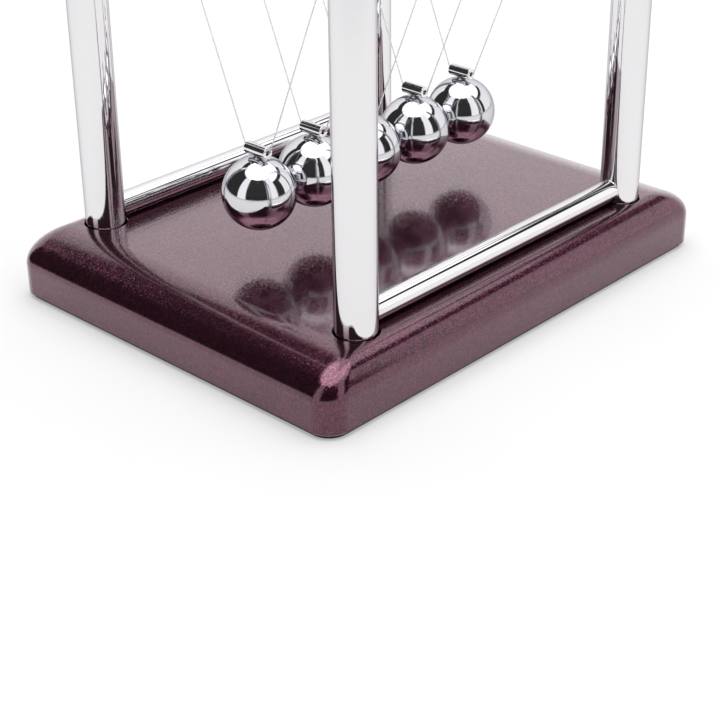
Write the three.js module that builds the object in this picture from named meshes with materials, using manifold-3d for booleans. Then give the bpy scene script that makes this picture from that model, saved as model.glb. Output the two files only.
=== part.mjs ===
// Newton's cradle: a lacquered block, two chrome side frames and five polished steel balls.
// Millimetres, +Z up, origin at the middle of the underside.
// X runs along the row of balls, Y from the front side frame to the back one.
import * as THREE from 'three';
import { mergeVertices } from 'three/addons/utils/BufferGeometryUtils.js';
import Module from 'manifold-3d';

const wasm = await Module();
wasm.setup();

// Driving dimensions
const GAP = 0.3;              // air left between touching pieces

const BASE_LENGTH = 170;
const BASE_WIDTH = 132.5;
const BASE_TOP = 20;          // height of the flat top above the table
const BASE_CORNER = 7.2;      // plan radius of the upright edges
const TOP_CORNER = 1.6;       // plan radius that is left where the flat top begins
const ROUNDOVER_ENDS = 17;    // width of the rounded top edge at the two ends
const ROUNDOVER_SIDES = 8;    // and along the front and back
const ROUNDOVER_HEIGHT = 9.5;
const ROUNDOVER_STEPS = 6;
const CORNER_STEPS = 4;       // facets round each upright edge
const FELT_THICKNESS = 1;
const FELT_INSET = 1.2;

const POST_SPACING_X = 121;
const POST_SPACING_Y = 105.5;
const POST_RADIUS = 6.1;
const POST_BORE = 4.9;        // inner radius of the post tube
const POST_TOP = 176.5;
const POST_SEAT = 9;          // height of the shoulder that carries the post
const POST_HOLE = 6.5;        // radius of the hole in the block
const CAP_TOP = 180;
const CAP_RIM = 0.8;          // straight part of the cap under its dome
const SPIGOT_BEVEL = 0.5;     // lead-in at the foot of the cap's spigot
const SPIGOT_BEVEL_HEIGHT = 0.8;

const RAIL_RADIUS = 3.5;
const TOP_RAIL_HEIGHT = 171.5;
const TENON_RADIUS = 2;
const TENON_END = 4.3;        // distance from the post axis to the tenon's end

const BALL_COUNT = 5;
const BALL_RADIUS = 11;
const BALL_PITCH = 22.5;
const BALL_HEIGHT = 40;       // height of the ball centres at rest
const SLEEVE_LENGTH = 8.2;
const SLEEVE_RADIUS = 1.8;
const SLEEVE_BORE = 0.65;

const LINE_RADIUS = 0.2;
const LINE_BEND = 1.5;        // bend radius where the line leaves the sleeve
const ANCHOR_HOLE = 0.9;
const ANCHOR_STEM = 0.6;
const ANCHOR_HEAD = 1.6;
const ANCHOR_NECK = 1.12;     // radius of the head's small top face
const ANCHOR_STEPS = [0.7, 1.3, 1.5];   // heights of the head's rim, top face and middle above the rail
const LINE_OVERHANG = 0.7;    // from the sleeve's end to where the straight runs would meet

const SCREW_SHANK = 2.5;
const SCREW_HEAD = 4.5;
const SCREW_HEAD_LOW = 2;     // height of the head's underside
const SCREW_HEAD_EDGE = 1;    // bevel round the head
const WASHER_THICKNESS = 0.9;
const SCREW_HOLE = SCREW_SHANK + GAP;
const COUNTERBORE = 5.8;
const COUNTERBORE_TOP = 6.5;
const PLUG_TOP = 19.5;
const SCREW_TIP = 19;
const SCREW_POINT = 1;        // the length over which the screw's end comes to a point

// Derived places
const bottomRailHeight = BASE_TOP + GAP + RAIL_RADIUS;
const sleeveHeight = BALL_HEIGHT + BALL_RADIUS + GAP + SLEEVE_RADIUS;
const frameY = POST_SPACING_Y / 2;
const cornerY = SLEEVE_LENGTH / 2 + LINE_OVERHANG;
const lineDirection = new THREE.Vector3(0, frameY - cornerY, TOP_RAIL_HEIGHT - sleeveHeight).normalize();
const anchorReach = RAIL_RADIUS + GAP;      // the anchor's stem ends here, below the rail
const lineReach = anchorReach + GAP;        // and the line starts here
const capFoot = TOP_RAIL_HEIGHT + TENON_RADIUS + GAP;  // the cap's spigot ends just above the tenon

const finishes = {
  lacquer: { color: 0x5b1d30, roughness: 0.12, metalness: 0.3 },
  felt: { color: 0x17161a, roughness: 0.95, metalness: 0 },
  chrome: { color: 0xe4e6ea, roughness: 0.06, metalness: 1 },
  ball: { color: 0xeceef0, roughness: 0.03, metalness: 1 },
  line: { color: 0xe9ecf0, roughness: 0.25, metalness: 0 },
  zinc: { color: 0xa9acb0, roughness: 0.35, metalness: 1 },
  plug: { color: 0x2a2a2c, roughness: 0.6, metalness: 0 },
};

const cradle = new THREE.Group();

function addPiece(name, geometry, finish, parent = cradle) {
  const mesh = new THREE.Mesh(geometry, new THREE.MeshStandardMaterial(finishes[finish]));
  mesh.name = name;
  parent.add(mesh);
  return mesh;
}

// Booleans

function toSolid(geometry) {
  const bare = geometry.index ? geometry.toNonIndexed() : geometry.clone();
  bare.deleteAttribute('normal');
  bare.deleteAttribute('uv');
  const merged = mergeVertices(bare, 1e-4);
  return new wasm.Manifold(new wasm.Mesh({
    numProp: 3,
    vertProperties: new Float32Array(merged.attributes.position.array),
    triVerts: new Uint32Array(merged.index.array),
  }));
}

function toGeometry(solid) {
  const mesh = solid.getMesh();
  const geometry = new THREE.BufferGeometry();
  geometry.setAttribute('position', new THREE.BufferAttribute(new Float32Array(mesh.vertProperties), 3));
  geometry.setIndex(new THREE.BufferAttribute(new Uint32Array(mesh.triVerts), 1));
  geometry.computeVertexNormals();
  return geometry;
}

// Shapes

function upright(radius, low, high, sides) {
  const cylinder = new THREE.CylinderGeometry(radius, radius, high - low, sides);
  cylinder.rotateX(Math.PI / 2);
  cylinder.translate(0, 0, (low + high) / 2);
  return cylinder;
}

// A turned piece about Z from [radius, height] points that run upwards on the outside.
function turned(points, sides) {
  const profile = points.map(([radius, height]) => new THREE.Vector2(radius, height));
  const lathe = new THREE.LatheGeometry(profile, sides);
  lathe.rotateX(Math.PI / 2);
  return lathe;
}

function tube(outer, inner, low, high, sides) {
  return turned([[inner, low], [outer, low], [outer, high], [inner, high], [inner, low]], sides);
}

// Points round a rounded rectangle, anticlockwise from above.
function roundedRectangle(length, width, radius) {
  const points = [];
  for (let quarter = 0; quarter < 4; quarter += 1) {
    const x = (quarter === 0 || quarter === 3 ? 1 : -1) * (length / 2 - radius);
    const y = (quarter < 2 ? 1 : -1) * (width / 2 - radius);
    for (let step = 0; step <= CORNER_STEPS; step += 1) {
      const angle = (quarter + step / CORNER_STEPS) * Math.PI / 2;
      points.push(new THREE.Vector2(x + radius * Math.cos(angle), y + radius * Math.sin(angle)));
    }
  }
  return points;
}

// The four corners where posts stand, with the name that each corner gives its pieces.
const corners = [];
for (const [side, y] of [['front', -frameY], ['back', frameY]]) {
  for (const [end, x] of [['left', -POST_SPACING_X / 2], ['right', POST_SPACING_X / 2]]) {
    corners.push({ name: `${side}_${end}`, x, y });
  }
}

// Base

// A closed body through rounded rectangles given as [length, width, radius, height], lowest first.
function loft(stations) {
  const positions = [];
  for (const [length, width, radius, height] of stations) {
    for (const point of roundedRectangle(length, width, radius)) {
      positions.push(point.x, point.y, height);
    }
  }
  const count = positions.length / 3 / stations.length;
  const faces = [];
  for (let ring = 0; ring + 1 < stations.length; ring += 1) {
    for (let step = 0; step < count; step += 1) {
      const low = ring * count + step;
      const next = ring * count + (step + 1) % count;
      faces.push(low, next, next + count, low, next + count, low + count);
    }
  }
  const top = positions.length / 3 - count;
  for (let step = 1; step + 1 < count; step += 1) {
    faces.push(0, step + 1, step);
    faces.push(top, top + step, top + step + 1);
  }
  const geometry = new THREE.BufferGeometry();
  geometry.setAttribute('position', new THREE.BufferAttribute(new Float32Array(positions), 3));
  geometry.setIndex(faces);
  return geometry;
}

// The block's outline where its rounded edge has turned by angle from the upright side.
function edgeStation(angle) {
  const inset = 1 - Math.cos(angle);
  return [
    BASE_LENGTH - 2 * ROUNDOVER_ENDS * inset,
    BASE_WIDTH - 2 * ROUNDOVER_SIDES * inset,
    BASE_CORNER + (TOP_CORNER - BASE_CORNER) * inset,
    BASE_TOP - ROUNDOVER_HEIGHT * (1 - Math.sin(angle)),
  ];
}

function baseBlock() {
  const underside = FELT_THICKNESS + GAP;
  const stations = [[BASE_LENGTH, BASE_WIDTH, BASE_CORNER, underside]];
  for (let step = 0; step <= ROUNDOVER_STEPS; step += 1) {
    stations.push(edgeStation(step / ROUNDOVER_STEPS * Math.PI / 2));
  }
  let block = toSolid(loft(stations));
  for (const { x, y } of corners) {
    const cuts = [
      upright(POST_HOLE, POST_SEAT, BASE_TOP + 1, 32),
      upright(SCREW_HOLE, 0, BASE_TOP, 16),
      upright(COUNTERBORE, 0, COUNTERBORE_TOP, 24),
    ];
    for (const cut of cuts) {
      block = block.subtract(toSolid(cut.translate(x, y, 0)));
    }
  }
  return toGeometry(block);
}

function baseFelt() {
  const outline = [BASE_LENGTH - 2 * FELT_INSET, BASE_WIDTH - 2 * FELT_INSET, BASE_CORNER - FELT_INSET];
  return toGeometry(toSolid(loft([[...outline, 0], [...outline, FELT_THICKNESS]])));
}

// Side frames: each post is a tube with a threaded plug in its foot and a turned cap on top.

function postTube(x) {
  const inward = -Math.sign(x);
  let post = toSolid(tube(POST_RADIUS, POST_BORE, POST_SEAT + GAP, POST_TOP, 32));
  for (const height of [bottomRailHeight, TOP_RAIL_HEIGHT]) {
    const hole = new THREE.CylinderGeometry(TENON_RADIUS + GAP, TENON_RADIUS + GAP, POST_RADIUS, 16);
    hole.rotateZ(Math.PI / 2);
    hole.translate(inward * (POST_BORE + 1), 0, height);
    post = post.subtract(toSolid(hole));
  }
  return toGeometry(post);
}

function postPlug() {
  return tube(POST_BORE - GAP, SCREW_HOLE, POST_SEAT + GAP, PLUG_TOP, 20);
}

function postScrew() {
  const headHigh = COUNTERBORE_TOP - 2 * GAP - WASHER_THICKNESS;
  return turned([
    [0, SCREW_HEAD_LOW],
    [SCREW_HEAD - SCREW_HEAD_EDGE, SCREW_HEAD_LOW],
    [SCREW_HEAD, SCREW_HEAD_LOW + SCREW_HEAD_EDGE],
    [SCREW_HEAD, headHigh],
    [SCREW_SHANK, headHigh],
    [SCREW_SHANK, SCREW_TIP - SCREW_POINT],
    [0, SCREW_TIP],
  ], 20);
}

function postWasher() {
  return tube(COUNTERBORE - 2 * GAP, SCREW_HOLE, COUNTERBORE_TOP - GAP - WASHER_THICKNESS, COUNTERBORE_TOP - GAP, 20);
}

function postCap() {
  const rimLow = POST_TOP + GAP;
  const rimHigh = rimLow + CAP_RIM;
  const dome = [];
  const steps = 4;
  for (let i = 0; i <= steps; i += 1) {
    const angle = (i / steps) * (Math.PI / 2);
    const height = rimHigh + (CAP_TOP - rimHigh) * Math.sin(angle);
    dome.push([i === steps ? 0 : POST_RADIUS * Math.cos(angle), height]);
  }
  return turned([
    [0, capFoot],
    [POST_BORE - GAP - SPIGOT_BEVEL, capFoot],
    [POST_BORE - GAP, capFoot + SPIGOT_BEVEL_HEIGHT],
    [POST_BORE - GAP, rimLow],
    [POST_RADIUS, rimLow],
    ...dome,
  ], 24);
}

// A rail lies along X between two posts: its ends are hollowed to the posts and carry tenons.
function railBlank() {
  const half = POST_SPACING_X / 2;
  const bar = new THREE.CylinderGeometry(RAIL_RADIUS, RAIL_RADIUS, POST_SPACING_X, 24);
  bar.rotateZ(Math.PI / 2);
  let rail = toSolid(bar);
  for (const x of [-half, half]) {
    rail = rail.subtract(toSolid(upright(POST_RADIUS + GAP, -10, 10, 32).translate(x, 0, 0)));
  }
  const tenonLength = POST_SPACING_X - 2 * TENON_END;
  const tenon = new THREE.CylinderGeometry(TENON_RADIUS, TENON_RADIUS, tenonLength, 12);
  tenon.rotateZ(Math.PI / 2);
  return rail.add(toSolid(tenon));
}

// Everything that is tilted in line with the hanging lines turns by this angle about X.
function lineTilt(y) {
  return -Math.sign(y) * Math.atan2(lineDirection.y, lineDirection.z);
}

function ballX(index) {
  return (index - (BALL_COUNT + 1) / 2) * BALL_PITCH;
}

function topRail(y) {
  let rail = railBlank();
  for (let index = 1; index <= BALL_COUNT; index += 1) {
    const hole = upright(ANCHOR_HOLE, -2 * RAIL_RADIUS, 2 * RAIL_RADIUS, 12);
    hole.rotateX(lineTilt(y));
    hole.translate(ballX(index), 0, 0);
    rail = rail.subtract(toSolid(hole));
  }
  return toGeometry(rail);
}

// The anchor is a small turned bush: its stem lines the hole and its head sits on the rail.
function lineAnchor(y) {
  const seat = RAIL_RADIUS + GAP;
  const [rim, face, middle] = ANCHOR_STEPS;
  const bush = turned([
    [0, -anchorReach],
    [ANCHOR_STEM, -anchorReach],
    [ANCHOR_STEM, seat],
    [ANCHOR_HEAD, seat],
    [ANCHOR_HEAD, seat + rim],
    [ANCHOR_NECK, seat + face],
    [0, seat + middle],
  ], 12);
  bush.rotateX(lineTilt(y));
  return bush;
}

// Balls

function ball() {
  const sphere = new THREE.SphereGeometry(BALL_RADIUS, 24, 16);
  sphere.rotateX(Math.PI / 2);
  return toGeometry(toSolid(sphere));
}

function sleeve() {
  const half = SLEEVE_LENGTH / 2;
  const barrel = tube(SLEEVE_RADIUS, SLEEVE_BORE, -half, half, 16);
  barrel.rotateX(Math.PI / 2);
  return barrel;
}

// One line runs from the front rail through the sleeve to the back rail.
// Its stations are bunched in the two bends, so it is stepped by station and not by length.
class HangingLine extends THREE.Curve {
  constructor() {
    super();
    const turn = Math.atan2(lineDirection.z, lineDirection.y);
    const tangent = LINE_BEND * Math.tan(turn / 2);
    const start = cornerY - tangent;
    const back = [new THREE.Vector3(0, start / 2, sleeveHeight)];
    const bendSteps = 4;
    for (let i = 0; i <= bendSteps; i += 1) {
      const angle = (i / bendSteps) * turn;
      back.push(new THREE.Vector3(
        0,
        start + LINE_BEND * Math.sin(angle),
        sleeveHeight + LINE_BEND * (1 - Math.cos(angle)),
      ));
    }
    const top = new THREE.Vector3(0, frameY, TOP_RAIL_HEIGHT).addScaledVector(lineDirection, -lineReach);
    back.push(back[back.length - 1].clone().lerp(top, 0.5));
    back.push(top);
    const front = back.map((point) => new THREE.Vector3(0, -point.y, point.z)).reverse();
    this.stations = [...front, ...back];
  }

  getPoint(t, target = new THREE.Vector3()) {
    const place = t * (this.stations.length - 1);
    const index = Math.min(Math.floor(place), this.stations.length - 2);
    return target.lerpVectors(this.stations[index], this.stations[index + 1], place - index);
  }

  getUtoTmapping(u) {
    return u;
  }
}

function hangingLine() {
  const path = new HangingLine();
  const section = new THREE.Shape();
  section.absarc(0, 0, LINE_RADIUS, 0, Math.PI * 2);
  return new THREE.ExtrudeGeometry(section, {
    steps: path.stations.length - 1, curveSegments: 4, extrudePath: path, bevelEnabled: false,
  });
}

// Assembly

addPiece('base_block', baseBlock(), 'lacquer');
addPiece('base_felt', baseFelt(), 'felt');

for (const { name, x, y } of corners) {
  const pieces = [
    [`post_${name}`, postTube(x), 'chrome'],
    [`post_cap_${name}`, postCap(), 'chrome'],
    [`post_plug_${name}`, postPlug(), 'plug'],
    [`post_screw_${name}`, postScrew(), 'zinc'],
    [`post_washer_${name}`, postWasher(), 'zinc'],
  ];
  for (const [pieceName, geometry, finish] of pieces) {
    addPiece(pieceName, geometry, finish).position.set(x, y, 0);
  }
}

for (const [side, y] of [['front', -frameY], ['back', frameY]]) {
  addPiece(`bottom_rail_${side}`, toGeometry(railBlank()), 'chrome').position.set(0, y, bottomRailHeight);
  addPiece(`top_rail_${side}`, topRail(y), 'chrome').position.set(0, y, TOP_RAIL_HEIGHT);
  for (let index = 1; index <= BALL_COUNT; index += 1) {
    const anchor = addPiece(`line_anchor_${side}_${index}`, lineAnchor(y), 'chrome');
    anchor.position.set(ballX(index), y, TOP_RAIL_HEIGHT);
  }
}

for (let index = 1; index <= BALL_COUNT; index += 1) {
  const pendulum = new THREE.Group();
  pendulum.position.x = ballX(index);
  cradle.add(pendulum);
  addPiece(`ball_${index}`, ball(), 'ball', pendulum).position.z = BALL_HEIGHT;
  addPiece(`sleeve_${index}`, sleeve(), 'chrome', pendulum).position.z = sleeveHeight;
  addPiece(`line_${index}`, hangingLine(), 'line', pendulum);
}

export default cradle;
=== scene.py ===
"""A newton's cradle: lacquered block, chrome side frames, five polished balls on nylon lines."""

import math

import bmesh
import bpy
from mathutils import Matrix, Vector
from mathutils.kdtree import KDTree


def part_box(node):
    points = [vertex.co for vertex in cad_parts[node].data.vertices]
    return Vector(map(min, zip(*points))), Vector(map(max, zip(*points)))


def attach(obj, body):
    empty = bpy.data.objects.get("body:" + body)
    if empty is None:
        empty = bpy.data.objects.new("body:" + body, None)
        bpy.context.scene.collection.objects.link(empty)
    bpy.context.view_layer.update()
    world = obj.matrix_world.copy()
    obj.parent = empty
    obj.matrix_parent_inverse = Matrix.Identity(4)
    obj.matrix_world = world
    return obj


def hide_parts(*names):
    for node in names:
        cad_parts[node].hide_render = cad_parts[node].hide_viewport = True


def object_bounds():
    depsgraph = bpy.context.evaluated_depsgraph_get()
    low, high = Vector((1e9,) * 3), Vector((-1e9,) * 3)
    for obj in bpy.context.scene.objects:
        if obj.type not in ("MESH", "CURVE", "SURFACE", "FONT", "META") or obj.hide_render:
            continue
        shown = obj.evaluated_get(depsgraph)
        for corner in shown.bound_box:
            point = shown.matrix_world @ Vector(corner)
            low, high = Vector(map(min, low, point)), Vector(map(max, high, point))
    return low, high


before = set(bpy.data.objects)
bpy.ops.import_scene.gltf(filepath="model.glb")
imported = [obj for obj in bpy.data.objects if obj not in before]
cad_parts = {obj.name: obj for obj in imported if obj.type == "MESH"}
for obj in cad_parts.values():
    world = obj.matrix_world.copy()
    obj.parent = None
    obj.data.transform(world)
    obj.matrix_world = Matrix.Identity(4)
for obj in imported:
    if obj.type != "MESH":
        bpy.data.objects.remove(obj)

CAD_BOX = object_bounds()
MM = 0.001
TAU = 2 * math.pi

CORNERS = [f"{side}_{end}" for side in ("front", "back") for end in ("left", "right")]
BALLS = range(1, 6)

# The block and its felt, in millimetres
CORNER_RADIUS = 7.2          # plan radius of the block's upright edges
TOP_CORNER_RADIUS = 1.6      # plan radius that is left at the flat top
ROUNDOVER_ENDS = 17.0        # width of the rounded top edge at the two ends
ROUNDOVER_SIDES = 8.0        # and along the front and back
ROUNDOVER_HEIGHT = 9.5
ROUNDOVER_STEPS = 32
BOTTOM_BREAK = 0.4
FELT_EDGE = 0.25
HOLE_RADIUS = 6.5            # the hole that a post stands in
HOLE_LEVEL = 9.0             # height of that hole's floor
HOLE_BREAK = 0.25
SCREW_HOLE_RADIUS = 2.8
COUNTERBORE_RADIUS = 5.8
COUNTERBORE_LEVEL = 6.5
CUTTER_MARGIN = 1.0          # how far a cutter sticks out of the block
CUTTER_FILLET = 0.1
RIM_FILLET = 0.05

# Posts, caps and rails, in millimetres
POST_BORE = 4.9
POST_EDGE = 0.35             # fillet round the ends of the post's tube
CAP_GAP = 0.12               # from the post's end to the cap's rim
CAP_DOME = 3.0               # fillet between the cap's side and its top
CAP_RIM_FILLET = 0.25
SPIGOT_CLEARANCE = 0.3
SPIGOT_FILLET = 0.4
SPIGOT_ROOT = 0.15
RAIL_CLEARANCE = 0.12        # from the post's surface to the rail's hollowed end
RAIL_BREAK = 0.25            # length of the broken edge at that end
RAIL_SHRINK = 0.18           # and how much narrower it ends

# Anchors, sleeves, welds and lines, in millimetres
BUSH_REACH = 3.8             # from the top rail's axis down to the bush's end
BUSH_STEM = 0.6
BUSH_STEM_FILLET = 0.15
BUSH_HEAD = 1.6
BUSH_NECK = 0.9
BUSH_GAP = 0.1               # from the rail's surface to the bush's head
BUSH_STEPS = (0.9, 1.5, 1.7)             # heights of the head's rim, shoulder and crown
BUSH_FILLETS = (0.05, 0.12, 0.45, 0.3)   # under the head, at its two rims and at its neck
PIVOT_REACH = 4.1            # from the top rail's axis down to where the lines begin
SLEEVE_BORE = 0.65
SLEEVE_FILLET = 0.18
WELD_SINK = 0.4              # how deep the weld starts inside the ball
LINE_RADIUS = 0.2
LINE_BEND = 1.5
LINE_OVERHANG = 0.7          # from the sleeve's end to where the two straight runs would meet

# The weld from its foot up: radius, height over the ball's top and fillet, in millimetres
WELD_PROFILE = [(1.9, -0.3, 0.1), (1.3, 0.15, 0.5), (1.1, 0.6, 0.1)]

# Facets round each round body, and steps in fillets and bends
BALL_SIDES = 128
BALL_RINGS = 80
POST_SIDES = 128
RAIL_SIDES = 96
FLOOR_SIDES = 96
HOLE_SIDES = 72
SLEEVE_SIDES = 48
SMALL_SIDES = 40
CORNER_STEPS = 20            # along each of the block's four upright edges
FILLET_STEPS = 6
CAP_FILLET_STEPS = 14
SMALL_FILLET_STEPS = 5
LINE_BEND_STEPS = 10
RUN_STOPS = (0.33, 0.66, 1.0)   # where each straight run of a line has a point

# Tolerances: metres for the matches, millimetres for the axis and radians for the nudge
EDGE_MATCH = 1e-7
SIDE_MATCH = 1e-6
ON_AXIS = 1e-6
ANGLE_NUDGE = 1e-4

# Camera
HEADING = 42.15              # degrees from +X to +Y
DOWNWARD = 26.83
DISTANCE = 0.518
AIM = Vector((-0.0064, -0.0178, 0.0))
LENS = 84.06
SENSOR_WIDTH = 36.0
SHIFT = (-0.0486, -0.0972)
CLIP_START = 0.01

# Floor, in metres, and the light
FLOOR_RADIUS = 1.6
FLOOR_BRIGHT = 0.29          # the floor's painted light is even to this distance
FLOOR_DIM = 0.90             # and its painted light is darkest from here on
FLOOR_GLOW = 0.33            # painted glow: emission that keeps the floor pale
BACKGROUND = (0.64, 0.64, 0.65, 1)   # what the camera sees beyond the floor
STUDIO_TINT = (1.0, 0.995, 1.0, 1)
ROOM_LEVEL = 0.035           # light from where there is no panel

# Panels of light round the object: azimuth from and to, elevation from and to, edge softness, level.
# Angles are in degrees, and azimuth is to the right of the camera's heading. Later ones cover earlier.
PANELS = [
    (-181, 181, 57, 95, 3.0, 3.2),      # overhead box
    (-14, 181, 43, 60, 1.0, 1.8),       # which reaches lower at the right
    (-58, 92, -95, 41, 1.0, 1.2),       # backdrop
    (40, 92, 34, 42, 1.2, 0.03),        # the dark gap above it
    (-14, 22, 30, 50, 4.0, 1.2),        # where backdrop and overhead box run together
    (118, 145, -95, 60, 2.0, 1.25),     # box at the camera's right
    (-142, -115, -95, 58, 2.0, 1.25),   # box at its left
    (146, 181, 10, 60, 2.0, 0.04),      # dark room behind the camera
    (-181, -143, 10, 60, 2.0, 0.04),
    (-181, 181, -95, -4, 3.0, 0.7),     # table beyond the floor
]

# Looks: paint, and for each plating its tint, roughness and how far wiping marks roughen it
FLAKE_SCALE = 3400.0
FLAKE_TILT = 0.13
GLINT_SHARE = 0.8            # how much painted glint on random flake cells brightens the paint
CLOUD_SCALE = 60.0
CLOUD_SHARE = 0.3            # and how much slow clouding does
PAINT_DARK = (0.030, 0.003, 0.010)
PAINT_BRIGHT = (0.190, 0.044, 0.094)
POST_PLATING = ((0.80, 0.79, 0.80), 0.03, 0.05)
BALL_POLISH = ((0.66, 0.66, 0.69), 0.05, 0.08)
# the weld: dull steel, its tint darkened further as painted shade under the sleeve
WELD_STEEL_PAINTED_SHADE = ((0.30, 0.29, 0.30), 0.25, 0.2)
CHROME_EDGE = (0.55, 0.54, 0.56, 1)  # tint of the plating seen edge on
WIPE_SCALE = 420.0
WIPE_STRETCH = (1.0, 1.0, 0.35)
DUST_SCALE = 2600.0
DUST_SHADE = 0.93
FIBRE_SCALE = 2400.0
MILK_SCALE = 900.0
SPANGLE_SCALE = 900.0
GRAIN_SCALE = 1800.0


# Nodes

class Wiring:
    """Short calls for making and joining shader nodes in one tree."""

    def __init__(self, tree):
        self.tree = tree
        tree.nodes.clear()

    def add(self, kind, inputs=None, **settings):
        node = self.tree.nodes.new(kind)
        for key, value in settings.items():
            setattr(node, key, value)
        for key, value in (inputs or {}).items():
            if isinstance(value, bpy.types.NodeSocket):
                self.tree.links.new(value, node.inputs[key])
            else:
                node.inputs[key].default_value = value
        return node

    def math(self, operation, *values):
        return self.add("ShaderNodeMath", dict(enumerate(values)), operation=operation).outputs[0]

    def vector(self, operation, *values):
        return self.add("ShaderNodeVectorMath", dict(enumerate(values)), operation=operation).outputs[0]

    def span(self, value, low, high, out_low=0.0, out_high=1.0):
        """A soft step from out_low to out_high while value goes from low to high."""
        return self.add("ShaderNodeMapRange", {0: value, 1: low, 2: high, 3: out_low, 4: out_high},
                        interpolation_type="SMOOTHSTEP").outputs[0]

    def mix(self, factor, first, second):
        node = self.add("ShaderNodeMix", {0: factor}, data_type="RGBA")
        for socket, value in ((node.inputs[6], first), (node.inputs[7], second)):
            if isinstance(value, bpy.types.NodeSocket):
                self.tree.links.new(value, socket)
            else:
                socket.default_value = (*value, 1.0)
        return node.outputs[2]

    def noise(self, where, scale, detail=2.0, roughness=0.5):
        return self.add("ShaderNodeTexNoise", {"Vector": where, "Scale": scale, "Detail": detail,
                                               "Roughness": roughness}).outputs[0]


def new_material(name):
    """A material with an empty tree, its wiring, and the object's own coordinates."""
    material = bpy.data.materials.new(name)
    material.use_nodes = True
    wiring = Wiring(material.node_tree)
    where = wiring.add("ShaderNodeTexCoord").outputs["Object"]
    return material, wiring, where


def close_material(material, wiring, inputs):
    """Ends the tree in one principled shader."""
    shader = wiring.add("ShaderNodeBsdfPrincipled", inputs)
    wiring.add("ShaderNodeOutputMaterial", {"Surface": shader.outputs[0]})
    return material


def lacquer():
    """Wine paint with fine metal flake under a clear coat, and painted glints that brighten random flake
    cells.
    """
    material, w, where = new_material("wine_lacquer")
    cells = w.add("ShaderNodeTexVoronoi", {"Vector": where, "Scale": FLAKE_SCALE}, feature="F1")
    flake = cells.outputs["Color"]
    tilt = w.vector("SUBTRACT", flake, (0.5, 0.5, 0.5))
    spread = w.add("ShaderNodeVectorMath", {0: tilt, "Scale": FLAKE_TILT}, operation="SCALE").outputs[0]
    normal = w.add("ShaderNodeNewGeometry").outputs["Normal"]
    flake_normal = w.vector("NORMALIZE", w.vector("ADD", normal, spread))
    # painted glint: random flake cells get a brighter base colour, as if catching the light
    glint = w.add("ShaderNodeSeparateColor", {0: flake}).outputs[2]
    painted_sparkle = w.math("MULTIPLY", w.math("POWER", glint, 2.0), GLINT_SHARE)
    # the paint's own slow clouding plus the painted glint set how bright the wine colour is
    depth = w.math("MULTIPLY_ADD", w.noise(where, CLOUD_SCALE), CLOUD_SHARE, painted_sparkle)
    colour = w.mix(depth, PAINT_DARK, PAINT_BRIGHT)
    return close_material(material, w, {
        "Base Color": colour,
        "Metallic": 0.87,
        "Roughness": 0.14,
        "Normal": flake_normal,
        "Coat Weight": 1.0,
        "Coat Roughness": 0.09,
        "Coat IOR": 1.5,
    })


def chrome(name, tint, roughness, smear):
    """Bright plating with faint wiping marks in its gloss."""
    material, w, where = new_material(name)
    marks = w.noise(w.vector("MULTIPLY", where, WIPE_STRETCH), WIPE_SCALE, 4.0, 0.6)
    dust = w.noise(where, DUST_SCALE, 2.0)
    gloss = w.span(marks, 0.45, 0.75, roughness, roughness + smear)
    colour = w.mix(w.span(dust, 0.6, 0.8), tint, tuple(DUST_SHADE * c for c in tint))
    return close_material(material, w, {
        "Base Color": colour, "Metallic": 1.0, "Roughness": gloss, "Specular Tint": CHROME_EDGE})


def felt():
    """Short black fibres, slightly fuzzy."""
    material, w, where = new_material("black_felt")
    fibre = w.noise(where, FIBRE_SCALE, 4.0, 0.7)
    colour = w.mix(fibre, (0.006, 0.006, 0.007), (0.035, 0.033, 0.036))
    bump = w.add("ShaderNodeBump", {"Strength": 0.6, "Distance": 0.0003, "Height": fibre})
    return close_material(material, w, {
        "Base Color": colour, "Roughness": 0.95, "Sheen Weight": 0.3, "Normal": bump.outputs[0]})


def nylon():
    """Clear monofilament, slightly milky."""
    material, w, where = new_material("nylon")
    milk = w.noise(where, MILK_SCALE)
    colour = w.mix(milk, (0.80, 0.81, 0.83), (0.93, 0.93, 0.94))
    return close_material(material, w, {
        "Base Color": colour, "Roughness": 0.18, "IOR": 1.53, "Transmission Weight": 0.75})


def zinc():
    """Bright zinc with a fine spangle."""
    material, w, where = new_material("zinc_plate")
    spangle = w.add("ShaderNodeTexVoronoi", {"Vector": where, "Scale": SPANGLE_SCALE}).outputs["Color"]
    shade = w.add("ShaderNodeSeparateColor", {0: spangle}).outputs[0]
    colour = w.mix(shade, (0.46, 0.47, 0.49), (0.62, 0.62, 0.60))
    gloss = w.span(shade, 0.0, 1.0, 0.28, 0.42)
    return close_material(material, w, {"Base Color": colour, "Metallic": 1.0, "Roughness": gloss})


def moulded():
    """Black plastic with a fine grain."""
    material, w, where = new_material("black_moulding")
    grain = w.noise(where, GRAIN_SCALE, 3.0)
    colour = w.mix(grain, (0.014, 0.014, 0.015), (0.028, 0.028, 0.030))
    bump = w.add("ShaderNodeBump", {"Strength": 0.25, "Distance": 0.0001, "Height": grain})
    return close_material(material, w, {"Base Color": colour, "Roughness": 0.55, "Normal": bump.outputs[0]})


# Meshes

def add_piece(name, data, material, body, slot, *nodes):
    """A finished piece that rides on a body and stands in for CAD nodes, if any are given."""
    piece = bpy.data.objects.new(name, data)
    bpy.context.scene.collection.objects.link(piece)
    data.materials.append(material)
    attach(piece, body)
    if nodes:
        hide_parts(*nodes)


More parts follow.
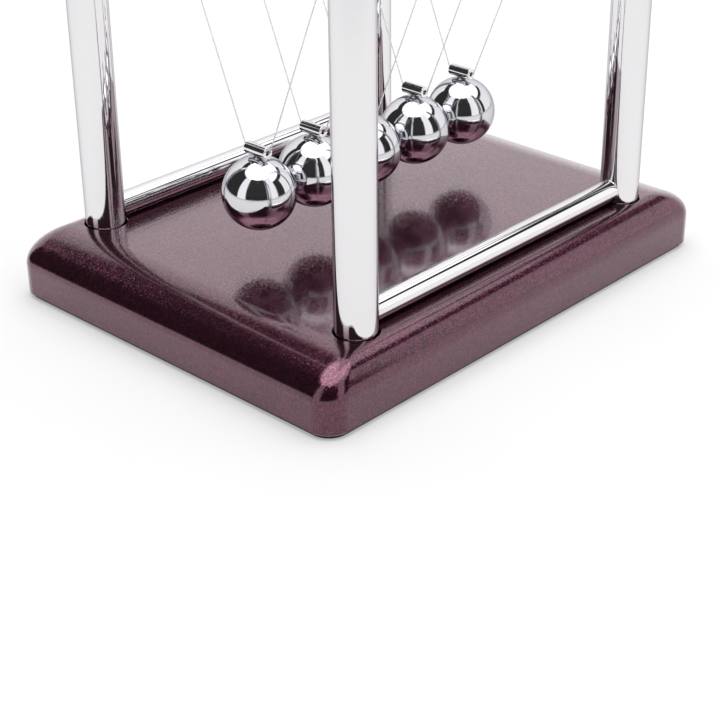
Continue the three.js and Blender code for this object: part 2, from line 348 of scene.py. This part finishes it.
def rounded_profile(corners, steps=FILLET_STEPS):
    """Points and outward normals (radius, height, normal) along corners, each with its own fillet.

    Corners are (radius, height, fillet) in millimetres and run upwards on the outside.
    The first and last corner are the profile's ends and stay sharp.
    """
    out = []
    points = [Vector(c[:2]) for c in corners]

    def side(a, b):
        run = (b - a).normalized()
        return Vector((run.y, -run.x))

    out.append((points[0], side(points[0], points[1])))
    for i in range(1, len(points) - 1):
        before, here, after = points[i - 1], points[i], points[i + 1]
        n0, n1 = side(before, here), side(here, after)
        turn = n0.angle(n1)
        cut = corners[i][2] * math.tan(turn / 2)
        start = here + (before - here).normalized() * cut
        sign = 1 if n0.x * n1.y - n0.y * n1.x > 0 else -1
        centre = start - n0 * corners[i][2] * sign
        for s in range(steps + 1):
            mixed = n0.slerp(n1, s / steps)
            out.append((centre + mixed * corners[i][2] * sign, mixed))
    out.append((points[-1], side(points[-2], points[-1])))
    return out


def lathe(name, corners, sides, closed=False, steps=FILLET_STEPS):
    """A turned body about Z from fillet corners, with exact normals."""
    profile = rounded_profile(corners, steps)
    if closed:
        profile = profile[1:-1]
    bm = bmesh.new()
    normals = []
    rings = []
    for point, normal in profile:
        if point.x < ON_AXIS:
            rings.append([bm.verts.new((0, 0, point.y * MM))])
            normals.append(Vector((0, 0, math.copysign(1, normal.y))))
            continue
        ring = []
        for s in range(sides):
            c, d = math.cos(TAU * s / sides), math.sin(TAU * s / sides)
            ring.append(bm.verts.new((point.x * MM * c, point.x * MM * d, point.y * MM)))
            normals.append(Vector((normal.x * c, normal.x * d, normal.y)))
        rings.append(ring)
    pairs = list(zip(rings, rings[1:]))
    if closed:
        pairs.append((rings[-1], rings[0]))
    for low, high in pairs:
        for s in range(sides):
            t = (s + 1) % sides
            quad = [low[s % len(low)], low[t % len(low)], high[t % len(high)], high[s % len(high)]]
            quad = list(dict.fromkeys(quad))
            if len(quad) > 2:
                bm.faces.new(quad)
    mesh = bpy.data.meshes.new(name)
    bm.to_mesh(mesh)
    bm.free()
    mesh.shade_smooth()
    mesh.normals_split_custom_set_from_vertices(normals)
    return mesh


def tube_corners(outer, inner, low, high, fillet):
    """Corners of a closed tube section; the start is in the middle of the bore, where nothing turns."""
    middle = (low + high) / 2
    return [
        (inner, middle, 0), (inner, low, fillet), (outer, low, fillet),
        (outer, high, fillet), (inner, high, fillet), (inner, middle, 0),
    ]


def with_normals(mesh, normal_at):
    """Gives each face corner the normal that normal_at(point, face normal) returns."""
    mesh.shade_smooth()
    wanted = []
    for face in mesh.polygons:
        for index in face.vertices:
            wanted.append(normal_at(mesh.vertices[index].co, face.normal))
    mesh.normals_split_custom_set(wanted)


def subtracted(mesh, cutters):
    """The mesh less the cutter meshes, by exact booleans."""
    body = bpy.data.objects.new("blank", mesh)
    bpy.context.scene.collection.objects.link(body)
    tools = []
    for cutter in cutters:
        tool = bpy.data.objects.new("cutter", cutter)
        bpy.context.scene.collection.objects.link(tool)
        cut = body.modifiers.new("cut", "BOOLEAN")
        cut.operation = "DIFFERENCE"
        cut.solver = "EXACT"
        cut.object = tool
        tools.append(tool)
    graph = bpy.context.evaluated_depsgraph_get()
    made = bpy.data.meshes.new_from_object(body.evaluated_get(graph), depsgraph=graph)
    for thing in [body, *tools]:
        bpy.data.objects.remove(thing)
    return made


def centre_and_half(node):
    """The middle of a CAD node's box and half its size, in metres."""
    low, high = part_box(node)
    return (low + high) / 2, (high - low) / 2


def outline(half_x, half_y, radius):
    """A rounded rectangle as (point, outward normal), anticlockwise from above."""
    points = []
    for quarter in range(4):
        sx = 1 if quarter in (0, 3) else -1
        sy = 1 if quarter in (0, 1) else -1
        for step in range(CORNER_STEPS + 1):
            angle = (quarter + step / CORNER_STEPS) * TAU / 4
            normal = Vector((math.cos(angle), math.sin(angle)))
            centre = Vector((sx * (half_x - radius), sy * (half_y - radius)))
            points.append((centre + normal * radius, normal))
    return points


def swept_block(name, stations):
    """A closed body through rounded rectangles (half x, half y, corner radius, height), in metres."""
    bm = bmesh.new()
    rings = []
    for half_x, half_y, radius, height in stations:
        ring = [bm.verts.new((point.x, point.y, height)) for point, _ in outline(half_x, half_y, radius)]
        rings.append(ring)
    count = len(rings[0])
    for low, high in zip(rings, rings[1:]):
        for s in range(count):
            t = (s + 1) % count
            bm.faces.new((low[s], low[t], high[t], high[s]))
    bm.faces.new(list(reversed(rings[0])))
    bm.faces.new(rings[-1])
    mesh = bpy.data.meshes.new(name)
    bm.to_mesh(mesh)
    bm.free()
    return mesh


# Pieces

def block_station(high, angle):
    """The block's outline where the rounded edge has turned by angle from the upright side."""
    out, rise = 1 - math.cos(angle), math.sin(angle)
    return (
        high.x - ROUNDOVER_ENDS * MM * out,
        high.y - ROUNDOVER_SIDES * MM * out,
        (CORNER_RADIUS + (TOP_CORNER_RADIUS - CORNER_RADIUS) * out) * MM,
        high.z - ROUNDOVER_HEIGHT * MM * (1 - rise),
    )


def block_normals(high, angles):
    """A tree of points on the rounded edge, and the exact normal at each of them."""
    places, normals = [], []
    for angle in angles:
        near = (angle - ANGLE_NUDGE, angle, angle + ANGLE_NUDGE)
        before, here, after = (block_station(high, turned) for turned in near)
        rings = [outline(*station[:3]) for station in (before, here, after)]
        for (first, _), (point, side), (last, _) in zip(*rings):
            along = Vector((-side.y, side.x, 0))
            up = Vector((last.x - first.x, last.y - first.y, after[3] - before[3]))
            places.append(Vector((point.x, point.y, here[3])))
            normals.append(along.cross(up).normalized())
    tree = KDTree(len(places))
    for index, place in enumerate(places):
        tree.insert(place, index)
    tree.balance()
    return tree, normals


def block_cutter(corner, top):
    """The holes for one post, its screw and the screw's head."""
    middle, _ = centre_and_half(f"post_{corner}")
    cutter = lathe("cutter", [
        (0, -CUTTER_MARGIN, 0),
        (COUNTERBORE_RADIUS, -CUTTER_MARGIN, CUTTER_FILLET),
        (COUNTERBORE_RADIUS, COUNTERBORE_LEVEL, CUTTER_FILLET),
        (SCREW_HOLE_RADIUS, COUNTERBORE_LEVEL, CUTTER_FILLET),
        (SCREW_HOLE_RADIUS, HOLE_LEVEL, CUTTER_FILLET),
        (HOLE_RADIUS, HOLE_LEVEL, CUTTER_FILLET),
        (HOLE_RADIUS, top - HOLE_BREAK, RIM_FILLET),
        (HOLE_RADIUS + CUTTER_MARGIN + HOLE_BREAK, top + CUTTER_MARGIN, RIM_FILLET),
        (0, top + CUTTER_MARGIN, 0),
    ], HOLE_SIDES, steps=1)
    cutter.transform(Matrix.Translation((middle.x, middle.y, 0)))
    return cutter


def build_block(material):
    """The lacquered block with its rolled top edge, post holes and screw holes."""
    low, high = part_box("base_block")
    angles = [step / ROUNDOVER_STEPS * TAU / 4 for step in range(ROUNDOVER_STEPS + 1)]
    foot = BOTTOM_BREAK * MM
    radius = CORNER_RADIUS * MM
    stations = [
        (high.x - foot, high.y - foot, radius - foot, low.z),
        (high.x, high.y, radius, low.z + foot),
    ]
    stations += [block_station(high, angle) for angle in angles]
    mesh = swept_block("lacquer_block", stations)
    mesh = subtracted(mesh, [block_cutter(corner, high.z / MM) for corner in CORNERS])
    tree, normals = block_normals(high, angles)
    spring = stations[2][3]
    side_tree, side_normals = block_normals(high, [0.0])

    def normal_at(point, face_normal):
        """Exact on the rounded edge, the flat top and the upright sides, the face's own in the holes."""
        _, index, distance = tree.find(point)
        if distance < EDGE_MATCH and face_normal.dot(normals[index]) > 0.5:
            return normals[index]
        if face_normal.z > 0.99:
            return Vector((0, 0, 1))
        if point.z < spring and abs(face_normal.z) < 0.1:
            _, index, distance = side_tree.find(Vector((point.x, point.y, spring)))
            if distance < SIDE_MATCH:
                return side_normals[index]
        return face_normal

    with_normals(mesh, normal_at)
    mesh.name = "lacquer_block"
    add_piece("lacquer_block", mesh, material, "frame", "lacquer", "base_block")


def build_felt(material):
    """The sheet under the block."""
    low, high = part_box("base_felt")
    edge = FELT_EDGE * MM
    radius = CORNER_RADIUS * MM - (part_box("base_block")[1].x - high.x)
    inner = (high.x - edge, high.y - edge, radius - edge)
    outer = (high.x, high.y, radius)
    mesh = swept_block("felt_sheet", [
        (*inner, low.z), (*outer, low.z + edge), (*outer, high.z - edge), (*inner, high.z)])
    add_piece("felt_sheet", mesh, material, "frame", "felt", "base_felt")


def build_post(corner, material):
    """One post's tube and its domed cap."""
    low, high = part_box(f"post_{corner}")
    middle, half = centre_and_half(f"post_{corner}")
    radius = half.x / MM
    section = tube_corners(radius, POST_BORE, low.z / MM, high.z / MM, POST_EDGE)
    mesh = lathe(f"post_tube_{corner}", section, POST_SIDES, closed=True)
    mesh.transform(Matrix.Translation((middle.x, middle.y, 0)))
    add_piece(f"post_tube_{corner}", mesh, material, "frame", "chrome", f"post_{corner}")

    cap_low, cap_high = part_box(f"post_cap_{corner}")
    rim = high.z / MM + CAP_GAP
    top = cap_high.z / MM
    spigot = POST_BORE - SPIGOT_CLEARANCE
    mesh = lathe(f"post_dome_{corner}", [
        (0, cap_low.z / MM, 0),
        (spigot, cap_low.z / MM, SPIGOT_FILLET),
        (spigot, rim, SPIGOT_ROOT),
        (radius, rim, CAP_RIM_FILLET),
        (radius, top, CAP_DOME),
        (0, top, 0),
    ], POST_SIDES, steps=CAP_FILLET_STEPS)
    mesh.transform(Matrix.Translation((middle.x, middle.y, 0)))
    add_piece(f"post_dome_{corner}", mesh, material, "frame", "chrome", f"post_cap_{corner}")


def rail_mesh(name, node, post_radius, post_x):
    """A rod along X whose ends are hollowed to the posts."""
    middle, half = centre_and_half(node)
    radius = half.z
    clear = post_radius + RAIL_CLEARANCE * MM
    bm = bmesh.new()
    rings = []
    for end in (-1, 1):
        for pull, shrink in ((0.0, RAIL_SHRINK * MM), (RAIL_BREAK * MM, 0.0)):
            ring = []
            reach = radius - shrink
            for s in range(RAIL_SIDES):
                angle = TAU * s / RAIL_SIDES
                y, z = reach * math.cos(angle), reach * math.sin(angle)
                x = post_x - math.sqrt(clear ** 2 - y ** 2) - pull
                ring.append(bm.verts.new((end * x, middle.y + y, middle.z + z)))
            rings.append(ring)
    order = [rings[0], rings[1], rings[3], rings[2]]
    for first, second in zip(order, order[1:]):
        for s in range(RAIL_SIDES):
            t = (s + 1) % RAIL_SIDES
            bm.faces.new((first[s], second[s], second[t], first[t]))
    for ring in (rings[0], rings[2]):
        bmesh.ops.triangulate(bm, faces=[bm.faces.new(ring)])
    bmesh.ops.recalc_face_normals(bm, faces=bm.faces)
    mesh = bpy.data.meshes.new(name)
    bm.to_mesh(mesh)
    bm.free()
    return mesh, middle, radius


def build_rail(level, side, material):
    """One rod between two posts."""
    node = f"{level}_rail_{side}"
    post_centre, post_half = centre_and_half(f"post_{side}_right")
    mesh, middle, radius = rail_mesh(f"{level}_bar_{side}", node, post_half.x, post_centre.x)

    def normal_at(point, face_normal):
        """Straight out from the axis on the round surface, the face's own at the ends."""
        away = Vector((0, point.y - middle.y, point.z - middle.z))
        if away.length > radius * 0.99 and face_normal.dot(away.normalized()) > 0.9:
            return away.normalized()
        return face_normal

    with_normals(mesh, normal_at)
    add_piece(f"{level}_bar_{side}", mesh, material, "frame", "chrome", node)


def hanging_geometry(index):
    """Sleeve centre, where the level and the back run would meet, the way up that run, and its end."""
    sleeve, sleeve_half = centre_and_half(f"sleeve_{index}")
    rail, _ = centre_and_half("top_rail_back")
    corner = Vector((sleeve.x, sleeve_half.y + LINE_OVERHANG * MM, sleeve.z))
    towards = (Vector((sleeve.x, rail.y, rail.z)) - corner).normalized()
    pivot = Vector((sleeve.x, rail.y, rail.z)) - towards * PIVOT_REACH * MM
    return sleeve, corner, towards, pivot


def build_anchor(index, side, material):
    """The bush in a top rail that one end of a line goes into, leaning along that line."""
    node = f"line_anchor_{side}_{index}"
    _, _, towards, _ = hanging_geometry(index)
    rail, rail_half = centre_and_half(f"top_rail_{side}")
    radius = rail_half.z / MM
    lean = math.atan2(towards.y, towards.z)
    seat = radius + BUSH_GAP
    rim, shoulder, crown = (seat + step for step in BUSH_STEPS)
    root, under, over, neck = BUSH_FILLETS
    mesh = lathe(f"line_bush_{side}_{index}", [
        (0, -BUSH_REACH, 0),
        (BUSH_STEM, -BUSH_REACH, BUSH_STEM_FILLET),
        (BUSH_STEM, seat, root),
        (BUSH_HEAD, seat, under),
        (BUSH_HEAD, rim, over),
        (BUSH_NECK, shoulder, neck),
        (0, crown, 0),
    ], SMALL_SIDES, steps=SMALL_FILLET_STEPS)
    turn = -lean if side == "back" else lean
    place, _ = centre_and_half(f"ball_{index}")
    mesh.transform(Matrix.Translation((place.x, rail.y, rail.z)) @ Matrix.Rotation(turn, 4, "X"))
    add_piece(f"line_bush_{side}_{index}", mesh, material, "frame", "chrome", node)


def build_ball(index, material):
    """One polished ball."""
    middle, half = centre_and_half(f"ball_{index}")
    bm = bmesh.new()
    mesh = bpy.data.meshes.new(f"steel_ball_{index}")
    bmesh.ops.create_uvsphere(bm, u_segments=BALL_SIDES, v_segments=BALL_RINGS, radius=half.z)
    bm.to_mesh(mesh)
    bm.free()
    with_normals(mesh, lambda point, face_normal: point.normalized())
    mesh.transform(Matrix.Translation(middle))
    add_piece(f"steel_ball_{index}", mesh, material, f"pendulum_{index}", "ball", f"ball_{index}")


def build_sleeve(index, material, weld_painted_shade_material):
    """The cross tube over a ball, and the weld that joins the two, its dull steel darkened further with
    painted shade.
    """
    sleeve, half = centre_and_half(f"sleeve_{index}")
    ball, ball_half = centre_and_half(f"ball_{index}")
    radius = half.z / MM
    length = half.y / MM
    section = tube_corners(radius, SLEEVE_BORE, -length, length, SLEEVE_FILLET)
    mesh = lathe(f"cross_sleeve_{index}", section, SLEEVE_SIDES, closed=True)
    mesh.transform(Matrix.Translation(sleeve) @ Matrix.Rotation(TAU / 4, 4, "X"))
    add_piece(f"cross_sleeve_{index}", mesh, material, f"pendulum_{index}", "chrome", f"sleeve_{index}")

    top = ball.z / MM + ball_half.z / MM
    corners = [(radius, top + height, fillet) for radius, height, fillet in WELD_PROFILE]
    weld = lathe(f"weld_neck_{index}", [(0, top - WELD_SINK, 0), *corners, (0, corners[-1][1], 0)],
                 SMALL_SIDES, steps=SMALL_FILLET_STEPS)
    weld.transform(Matrix.Translation((ball.x, ball.y, 0)))
    add_piece(f"weld_neck_{index}", weld, weld_painted_shade_material, f"pendulum_{index}", "ball")


def build_line(index, material):
    """One line from the front anchor through the sleeve to the back anchor."""
    sleeve, corner, towards, pivot = hanging_geometry(index)
    turn = math.atan2(towards.z, towards.y)
    tangent = LINE_BEND * MM * math.tan(turn / 2)
    back = [Vector((sleeve.x, 0.0, sleeve.z))]
    start = corner.y - tangent
    for s in range(LINE_BEND_STEPS + 1):
        angle = s / LINE_BEND_STEPS * turn
        back.append(Vector((sleeve.x, start + LINE_BEND * MM * math.sin(angle),
                            sleeve.z + LINE_BEND * MM * (1 - math.cos(angle)))))
    back += [back[-1].lerp(pivot, share) for share in RUN_STOPS]
    route = [Vector((p.x, -p.y, p.z)) for p in reversed(back[1:])] + back
    curve = bpy.data.curves.new(f"nylon_line_{index}", "CURVE")
    curve.dimensions = "3D"
    curve.bevel_depth = LINE_RADIUS * MM
    curve.bevel_resolution = 3
    curve.use_fill_caps = True
    spline = curve.splines.new("POLY")
    spline.points.add(len(route) - 1)
    for knot, point in zip(spline.points, route):
        knot.co = (*point, 1.0)
    add_piece(f"nylon_line_{index}", curve, material, f"pendulum_{index}", "line", f"line_{index}")


# Studio

def build_world():
    """Plain pale to the camera; to everything else soft boxes, a backdrop and a dark room."""
    world = bpy.data.worlds.new("studio")
    bpy.context.scene.world = world
    world.use_nodes = True
    w = Wiring(world.node_tree)
    direction = w.add("ShaderNodeTexCoord").outputs["Generated"]
    turned = w.add("ShaderNodeVectorRotate", {"Vector": direction, "Angle": -math.radians(HEADING)},
                   rotation_type="Z_AXIS").outputs[0]
    parts = w.add("ShaderNodeSeparateXYZ", {0: turned}).outputs
    leftward = w.math("MULTIPLY", parts[1], -1.0)
    azimuth = w.math("MULTIPLY", w.math("ARCTAN2", leftward, parts[0]), 360 / TAU)
    elevation = w.math("MULTIPLY", w.math("ARCSINE", parts[2]), 360 / TAU)

    level = ROOM_LEVEL
    for left, right, low, high, soft, value in PANELS:
        inside = w.span(azimuth, left - soft, left + soft)
        inside = w.math("MULTIPLY", inside, w.span(azimuth, right - soft, right + soft, 1.0, 0.0))
        inside = w.math("MULTIPLY", inside, w.span(elevation, low - soft, low + soft))
        inside = w.math("MULTIPLY", inside, w.span(elevation, high - soft, high + soft, 1.0, 0.0))
        gain = w.math("SUBTRACT", value, level)
        level = w.math("MULTIPLY_ADD", gain, inside, level)
    seen = w.add("ShaderNodeBackground", {"Color": BACKGROUND, "Strength": 1.0})
    studio = w.add("ShaderNodeBackground", {"Color": STUDIO_TINT, "Strength": level})
    is_camera = w.add("ShaderNodeLightPath").outputs["Is Camera Ray"]
    mixed = w.add("ShaderNodeMixShader", {0: is_camera, 1: studio.outputs[0], 2: seen.outputs[0]})
    w.add("ShaderNodeOutputWorld", {"Surface": mixed.outputs[0]})


def build_floor():
    """A pale disc with a painted pool of light: its colour and glow are even round the object and fade to
    the background's grey.
    """
    bm = bmesh.new()
    bmesh.ops.create_circle(bm, cap_ends=True, segments=FLOOR_SIDES, radius=FLOOR_RADIUS)
    mesh = bpy.data.meshes.new("floor")
    bm.to_mesh(mesh)
    bm.free()
    floor = bpy.data.objects.new("floor", mesh)
    bpy.context.scene.collection.objects.link(floor)
    floor.location.z = CAD_BOX[0].z
    material, w, where = new_material("white_floor")
    mesh.materials.append(material)
    away = w.add("ShaderNodeVectorMath", {0: where}, operation="LENGTH").outputs["Value"]
    # painted pool of light: the floor's colour and glow fall off away from the object
    painted_light_falloff = w.span(away, FLOOR_BRIGHT, FLOOR_DIM)
    close_material(material, w, {
        "Base Color": w.mix(painted_light_falloff, (0.52, 0.52, 0.52), (0.36, 0.36, 0.37)),
        "Roughness": 0.9,
        "Specular IOR Level": 0.0,
        "Emission Color": w.mix(painted_light_falloff, (1.0, 1.0, 1.0), (0.45, 0.45, 0.46)),
        "Emission Strength": FLOOR_GLOW})


def build_camera():
    """A long lens over the near corner, with its frame shifted."""
    heading, downward = math.radians(HEADING), math.radians(DOWNWARD)
    forward = Vector((math.cos(heading) * math.cos(downward), math.sin(heading) * math.cos(downward),
                      -math.sin(downward)))
    data = bpy.data.cameras.new("camera")
    data.lens = LENS
    data.sensor_width = SENSOR_WIDTH
    data.shift_x, data.shift_y = SHIFT
    data.clip_start = CLIP_START
    camera = bpy.data.objects.new("camera", data)
    bpy.context.scene.collection.objects.link(camera)
    camera.location = AIM - forward * DISTANCE
    camera.rotation_mode = "QUATERNION"
    camera.rotation_quaternion = forward.to_track_quat("-Z", "Y")
    bpy.context.scene.camera = camera


def finish_node(node, material):
    """A CAD node that stays as it is, with a procedural material."""
    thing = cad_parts[node]
    thing.data.materials.clear()
    thing.data.materials.append(material)


def build():
    """The studio first, then every piece."""
    build_camera()
    build_world()
    build_floor()
    plating = chrome("post_chrome", *POST_PLATING)
    polished = chrome("ball_chrome", *BALL_POLISH)
    # the weld's steel, darkened further as painted shade under the sleeve
    weld_with_painted_shade = chrome("weld_steel_painted_shade", *WELD_STEEL_PAINTED_SHADE)
    paint, cloth, clear, plate, plastic = lacquer(), felt(), nylon(), zinc(), moulded()
    build_block(paint)
    build_felt(cloth)
    for corner in CORNERS:
        build_post(corner, plating)
        finish_node(f"post_plug_{corner}", plastic)
        finish_node(f"post_screw_{corner}", plate)
        finish_node(f"post_washer_{corner}", plate)
    for side in ("front", "back"):
        for level in ("bottom", "top"):
            build_rail(level, side, plating)
        for index in BALLS:
            build_anchor(index, side, plating)
    for index in BALLS:
        build_ball(index, polished)
        build_sleeve(index, plating, weld_with_painted_shade)
        build_line(index, clear)
    bpy.context.scene.view_settings.view_transform = "Standard"


build()
